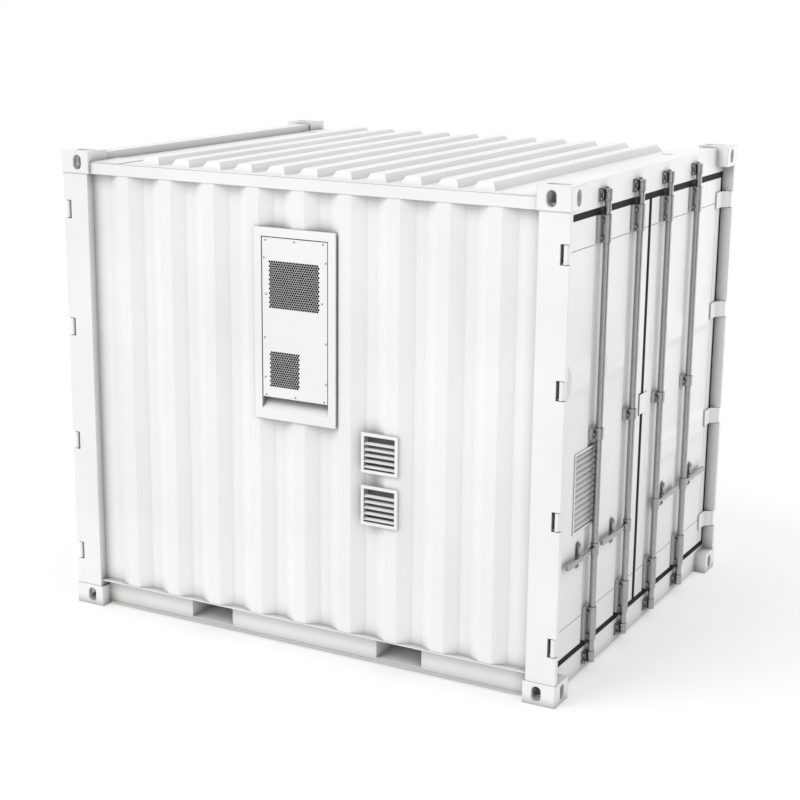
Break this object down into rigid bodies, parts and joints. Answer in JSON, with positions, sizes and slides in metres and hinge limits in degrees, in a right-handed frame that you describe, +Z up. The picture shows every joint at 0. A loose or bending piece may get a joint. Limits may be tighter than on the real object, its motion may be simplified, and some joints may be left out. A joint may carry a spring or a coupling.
{
  "type": "containerized battery storage system",
  "caption": "Ten-foot steel container that houses a battery system, with hinged double doors, lock bars, a wall cooling unit, ribbed roof and fork pockets.",
  "frame": {"origin": "centre of the base, on the ground under the bottom corner fittings", "axes": "+X towards the door end with the louvre, -Y towards the side with the cooling unit, +Z up"},
  "size_m": [2.991, 2.438, 2.591],
  "materials": {
    "container_paint": "satin off-white paint",
    "floor_steel": "black bitumen paint",
    "galvanised_steel": "dull zinc",
    "seal_rubber": "matt",
    "floor_plywood": "varnished",
    "lining_panel": "matt white faced foam panel",
    "cooler_sheet": "mill finish",
    "fan_plastic": "matt black",
    "rack_paint": "satin dark grey",
    "module_case": "satin graphite",
    "cabinet_paint": "satin light grey",
    "bottle_paint": "gloss red"
  },
  "bodies": {
    "container": {"corner_castings": "container_paint", "corner_posts": "container_paint", "hinge_pins": "galvanised_steel", "bottom_side_rails": "container_paint", "top_side_rails": "container_paint", "door_headers": "container_paint", "door_sills": "container_paint", "roof_panel": "container_paint", "side_walls": "container_paint", "floor_crossmembers": "floor_steel", "forklift_pockets": "floor_steel", "floor_deck": "floor_plywood", "wall_lining": "lining_panel", "cam_keepers": "galvanised_steel", "wall_louvres": "container_paint", "ac_frame": "container_paint", "ac_cover": "container_paint", "ac_condenser": "cooler_sheet", "battery_racks": "rack_paint", "battery_modules": "module_case", "power_cabinets": "cabinet_paint", "fire_suppression": "bottle_paint"},
    "ac_fan": {"ac_fan": "fan_plastic"},
    "left_front_door": {"left_front_door": "container_paint", "left_front_seal": "seal_rubber", "left_front_fittings": "galvanised_steel"},
    "left_front_inner_bar": {"left_front_inner_bar": "galvanised_steel"},
    "left_front_inner_handle": {"left_front_inner_handle": "galvanised_steel"},
    "left_front_inner_catch": {"left_front_inner_catch": "galvanised_steel"},
    "left_front_outer_bar": {"left_front_outer_bar": "galvanised_steel"},
    "left_front_outer_handle": {"left_front_outer_handle": "galvanised_steel"},
    "left_front_outer_catch": {"left_front_outer_catch": "galvanised_steel"},
    "left_back_door": {"left_back_door": "container_paint", "left_back_seal": "seal_rubber", "left_back_fittings": "galvanised_steel"},
    "left_back_inner_bar": {"left_back_inner_bar": "galvanised_steel"},
    "left_back_inner_handle": {"left_back_inner_handle": "galvanised_steel"},
    "left_back_inner_catch": {"left_back_inner_catch": "galvanised_steel"},
    "left_back_outer_bar": {"left_back_outer_bar": "galvanised_steel"},
    "left_back_outer_handle": {"left_back_outer_handle": "galvanised_steel"},
    "left_back_outer_catch": {"left_back_outer_catch": "galvanised_steel"},
    "right_front_door": {"right_front_door": "container_paint", "right_front_seal": "seal_rubber", "right_front_fittings": "galvanised_steel", "door_louvre": "container_paint"},
    "right_front_inner_bar": {"right_front_inner_bar": "galvanised_steel"},
    "right_front_inner_handle": {"right_front_inner_handle": "galvanised_steel"},
    "right_front_inner_catch": {"right_front_inner_catch": "galvanised_steel"},
    "right_front_outer_bar": {"right_front_outer_bar": "galvanised_steel"},
    "right_front_outer_handle": {"right_front_outer_handle": "galvanised_steel"},
    "right_front_outer_catch": {"right_front_outer_catch": "galvanised_steel"},
    "right_back_door": {"right_back_door": "container_paint", "right_back_seal": "seal_rubber", "right_back_fittings": "galvanised_steel"},
    "right_back_inner_bar": {"right_back_inner_bar": "galvanised_steel"},
    "right_back_inner_handle": {"right_back_inner_handle": "galvanised_steel"},
    "right_back_inner_catch": {"right_back_inner_catch": "galvanised_steel"},
    "right_back_outer_bar": {"right_back_outer_bar": "galvanised_steel"},
    "right_back_outer_handle": {"right_back_outer_handle": "galvanised_steel"},
    "right_back_outer_catch": {"right_back_outer_catch": "galvanised_steel"}
  },
  "joints": [
    {"name": "ac_fan_spin", "type": "hinge", "parent": "container", "child": "ac_fan", "pos_m": [-0.02125, -1.13, 1.98075], "axis": [0, 1, 0], "continuous": true},
    {"name": "left_front_door_hinge", "type": "hinge", "parent": "container", "child": "left_front_door", "pos_m": [-1.4715, -1.202, 1.2945], "axis": [0, 0, -1], "range_deg": [-265, 0]},
    {"name": "left_front_inner_bar_turn", "type": "hinge", "parent": "left_front_door", "child": "left_front_inner_bar", "pos_m": [-1.4575, -0.214, 1.289], "axis": [0, 0, -1], "range_deg": [0, 110]},
    {"name": "left_front_inner_handle_lift", "type": "hinge", "parent": "left_front_inner_bar", "child": "left_front_inner_handle", "pos_m": [-1.4575, -0.251, 0.672], "axis": [-1, 0, 0], "range_deg": [0, 30]},
    {"name": "left_front_inner_catch_swing", "type": "hinge", "parent": "left_front_door", "child": "left_front_inner_catch", "pos_m": [-1.4385, -0.382, 0.735], "axis": [-1, 0, 0], "range_deg": [0, 90]},
    {"name": "left_front_outer_bar_turn", "type": "hinge", "parent": "left_front_door", "child": "left_front_outer_bar", "pos_m": [-1.4575, -0.672, 1.289], "axis": [0, 0, -1], "range_deg": [0, 110]},
    {"name": "left_front_outer_handle_lift", "type": "hinge", "parent": "left_front_outer_bar", "child": "left_front_outer_handle", "pos_m": [-1.4575, -0.709, 0.672], "axis": [-1, 0, 0], "range_deg": [0, 30]},
    {"name": "left_front_outer_catch_swing", "type": "hinge", "parent": "left_front_door", "child": "left_front_outer_catch", "pos_m": [-1.4385, -0.84, 0.735], "axis": [-1, 0, 0], "range_deg": [0, 90]},
    {"name": "left_back_door_hinge", "type": "hinge", "parent": "container", "child": "left_back_door", "pos_m": [-1.4715, 1.202, 1.2945], "axis": [0, 0, 1], "range_deg": [-265, 0]},
    {"name": "left_back_inner_bar_turn", "type": "hinge", "parent": "left_back_door", "child": "left_back_inner_bar", "pos_m": [-1.4575, 0.214, 1.289], "axis": [0, 0, 1], "range_deg": [0, 110]},
    {"name": "left_back_inner_handle_lift", "type": "hinge", "parent": "left_back_inner_bar", "child": "left_back_inner_handle", "pos_m": [-1.4575, 0.251, 0.672], "axis": [1, 0, 0], "range_deg": [0, 30]},
    {"name": "left_back_inner_catch_swing", "type": "hinge", "parent": "left_back_door", "child": "left_back_inner_catch", "pos_m": [-1.4385, 0.382, 0.735], "axis": [1, 0, 0], "range_deg": [0, 90]},
    {"name": "left_back_outer_bar_turn", "type": "hinge", "parent": "left_back_door", "child": "left_back_outer_bar", "pos_m": [-1.4575, 0.672, 1.289], "axis": [0, 0, 1], "range_deg": [0, 110]},
    {"name": "left_back_outer_handle_lift", "type": "hinge", "parent": "left_back_outer_bar", "child": "left_back_outer_handle", "pos_m": [-1.4575, 0.709, 0.672], "axis": [1, 0, 0], "range_deg": [0, 30]},
    {"name": "left_back_outer_catch_swing", "type": "hinge", "parent": "left_back_door", "child": "left_back_outer_catch", "pos_m": [-1.4385, 0.84, 0.735], "axis": [1, 0, 0], "range_deg": [0, 90]},
    {"name": "right_front_door_hinge", "type": "hinge", "parent": "container", "child": "right_front_door", "pos_m": [1.4715, -1.202, 1.2945], "axis": [0, 0, 1], "range_deg": [-265, 0]},
    {"name": "right_front_inner_bar_turn", "type": "hinge", "parent": "right_front_door", "child": "right_front_inner_bar", "pos_m": [1.4575, -0.214, 1.289], "axis": [0, 0, 1], "range_deg": [0, 110]},
    {"name": "right_front_inner_handle_lift", "type": "hinge", "parent": "right_front_inner_bar", "child": "right_front_inner_handle", "pos_m": [1.4575, -0.251, 0.672], "axis": [-1, 0, 0], "range_deg": [0, 30]},
    {"name": "right_front_inner_catch_swing", "type": "hinge", "parent": "right_front_door", "child": "right_front_inner_catch", "pos_m": [1.4385, -0.382, 0.735], "axis": [-1, 0, 0], "range_deg": [0, 90]},
    {"name": "right_front_outer_bar_turn", "type": "hinge", "parent": "right_front_door", "child": "right_front_outer_bar", "pos_m": [1.4575, -0.672, 1.289], "axis": [0, 0, 1], "range_deg": [0, 110]},
    {"name": "right_front_outer_handle_lift", "type": "hinge", "parent": "right_front_outer_bar", "child": "right_front_outer_handle", "pos_m": [1.4575, -0.709, 0.672], "axis": [-1, 0, 0], "range_deg": [0, 30]},
    {"name": "right_front_outer_catch_swing", "type": "hinge", "parent": "right_front_door", "child": "right_front_outer_catch", "pos_m": [1.4385, -0.84, 0.735], "axis": [-1, 0, 0], "range_deg": [0, 90]},
    {"name": "right_back_door_hinge", "type": "hinge", "parent": "container", "child": "right_back_door", "pos_m": [1.4715, 1.202, 1.2945], "axis": [0, 0, -1], "range_deg": [-265, 0]},
    {"name": "right_back_inner_bar_turn", "type": "hinge", "parent": "right_back_door", "child": "right_back_inner_bar", "pos_m": [1.4575, 0.214, 1.289], "axis": [0, 0, -1], "range_deg": [0, 110]},
    {"name": "right_back_inner_handle_lift", "type": "hinge", "parent": "right_back_inner_bar", "child": "right_back_inner_handle", "pos_m": [1.4575, 0.251, 0.672], "axis": [1, 0, 0], "range_deg": [0, 30]},
    {"name": "right_back_inner_catch_swing", "type": "hinge", "parent": "right_back_door", "child": "right_back_inner_catch", "pos_m": [1.4385, 0.382, 0.735], "axis": [1, 0, 0], "range_deg": [0, 90]},
    {"name": "right_back_outer_bar_turn", "type": "hinge", "parent": "right_back_door", "child": "right_back_outer_bar", "pos_m": [1.4575, 0.672, 1.289], "axis": [0, 0, -1], "range_deg": [0, 110]},
    {"name": "right_back_outer_handle_lift", "type": "hinge", "parent": "right_back_outer_bar", "child": "right_back_outer_handle", "pos_m": [1.4575, 0.709, 0.672], "axis": [1, 0, 0], "range_deg": [0, 30]},
    {"name": "right_back_outer_catch_swing", "type": "hinge", "parent": "right_back_door", "child": "right_back_outer_catch", "pos_m": [1.4385, 0.84, 0.735], "axis": [1, 0, 0], "range_deg": [0, 90]}
  ]
}
